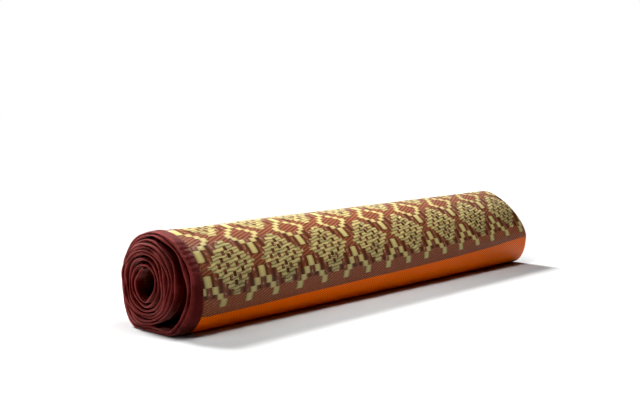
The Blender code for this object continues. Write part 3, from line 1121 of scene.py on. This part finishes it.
def lay_floor(sizes, colours):
    """A square floor, a hair under the roll."""
    reach = sizes.floor_size / 2
    mesh = bpy.data.meshes.new("studio_floor")
    corners = [(-reach, -reach), (reach, -reach), (reach, reach), (-reach, reach)]
    mesh.from_pydata([(*corner, -FLOOR_GAP) for corner in corners], [], [(0, 1, 2, 3)])
    mesh.materials.append(floor_finish(colours))
    put_in_scene("studio_floor", mesh)


def white_surroundings():
    """Surroundings that look white to the camera but light the scene with a weak fill only."""
    world = bpy.data.worlds.new("studio_white")
    world.use_nodes = True
    tree = world.node_tree
    background = tree.nodes["Background"]
    background.inputs["Color"].default_value = (1.0, 1.0, 1.0, 1.0)
    seen = Field(tree, tree.nodes.new("ShaderNodeLightPath").outputs["Is Camera Ray"])
    tree.links.new(seen.between(FILL_STRENGTH, 1.0).socket, background.inputs["Strength"])
    bpy.context.scene.world = world


def hang_lights():
    """The distant back light, and an area light for each row of LIGHTS."""
    light = bpy.data.lights.new("back_light", "SUN")
    light.energy = BACK_LIGHT_STRENGTH
    light.angle = math.radians(BACK_LIGHT_SPREAD)
    put_in_scene("back_light", light, look=-Vector(BACK_LIGHT_FROM))
    for name, (place, aim, size, power) in LIGHTS.items():
        light = bpy.data.lights.new(name, "AREA")
        light.shape = "RECTANGLE"
        light.size, light.size_y = size
        light.energy = power
        put_in_scene(name, light, place, Vector(aim) - Vector(place)).visible_camera = False


def set_camera():
    """The photograph's camera and its tone curve."""
    scene = bpy.context.scene
    camera = bpy.data.cameras.new("photo_camera")
    camera.lens = CAMERA_LENS
    yaw, pitch = math.radians(CAMERA_YAW), math.radians(CAMERA_PITCH)
    look = (math.cos(pitch) * math.cos(yaw), math.cos(pitch) * math.sin(yaw), -math.sin(pitch))
    scene.camera = put_in_scene("photo_camera", camera, CAMERA_PLACE, look)
    scene.view_settings.view_transform = "Standard"
    scene.view_settings.gamma = VIEW_GAMMA
    scene.view_settings.use_curve_mapping = True
    scene.view_settings.curve_mapping.black_level = (BLACK_LEVEL, BLACK_LEVEL, BLACK_LEVEL)


def settings(context):
    """The scene's two property groups."""
    return context.scene.straw_mat_sizes, context.scene.straw_mat_colours


class STRAWMAT_OT_stage(Operator):
    """Makes the white floor, the surroundings, the lights and the camera"""

    bl_idname = "straw_mat.stage"
    bl_label = "Studio stage"

    def execute(self, context):
        lay_floor(*settings(context))
        white_surroundings()
        hang_lights()
        set_camera()
        return {"FINISHED"}


class STRAWMAT_OT_cloth(Operator):
    """Weaves and winds the mat's cloth"""

    bl_idname = "straw_mat.cloth"
    bl_label = "Woven cloth"

    def execute(self, context):
        item = weave_mat(*settings(context))
        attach(item, "root")
        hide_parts("woven_mat")
        return {"FINISHED"}


class STRAWMAT_OT_binding(Operator):
    """Folds the tape over the mat's long edge"""

    bl_idname = "straw_mat.binding"
    bl_label = "Side binding"

    def execute(self, context):
        item = fold_binding(*settings(context))
        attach(item, "root")
        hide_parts("side_binding")
        return {"FINISHED"}


class STRAWMAT_OT_sewing(Operator):
    """Sews the binding down with stitches on both faces"""

    bl_idname = "straw_mat.sewing"
    bl_label = "Binding stitches"

    def execute(self, context):
        item = sew_binding(*settings(context))
        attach(item, "root")
        return {"FINISHED"}


class STRAWMAT_PT_panel(Panel):
    """Sizes, colours and the build steps of the rolled straw mat"""

    bl_idname = "STRAWMAT_PT_panel"
    bl_label = "Rolled straw mat"
    bl_space_type = "VIEW_3D"
    bl_region_type = "UI"
    bl_category = "Straw Mat"

    def draw(self, context):
        for group in settings(context):
            for name in group.__annotations__:
                self.layout.prop(group, name)
        for step in STEPS:
            self.layout.operator(step.bl_idname)


STEPS = (STRAWMAT_OT_stage, STRAWMAT_OT_cloth, STRAWMAT_OT_binding, STRAWMAT_OT_sewing)
CLASSES = (StrawMatSizes, StrawMatColours, *STEPS, STRAWMAT_PT_panel)


def register():
    for item in CLASSES:
        bpy.utils.register_class(item)
    bpy.types.Scene.straw_mat_sizes = PointerProperty(type=StrawMatSizes)
    bpy.types.Scene.straw_mat_colours = PointerProperty(type=StrawMatColours)


def unregister():
    del bpy.types.Scene.straw_mat_colours
    del bpy.types.Scene.straw_mat_sizes
    for item in reversed(CLASSES):
        bpy.utils.unregister_class(item)


def main():
    register()
    bpy.ops.straw_mat.stage()
    bpy.ops.straw_mat.cloth()
    bpy.ops.straw_mat.binding()
    bpy.ops.straw_mat.sewing()


if __name__ == "__main__":
    main()
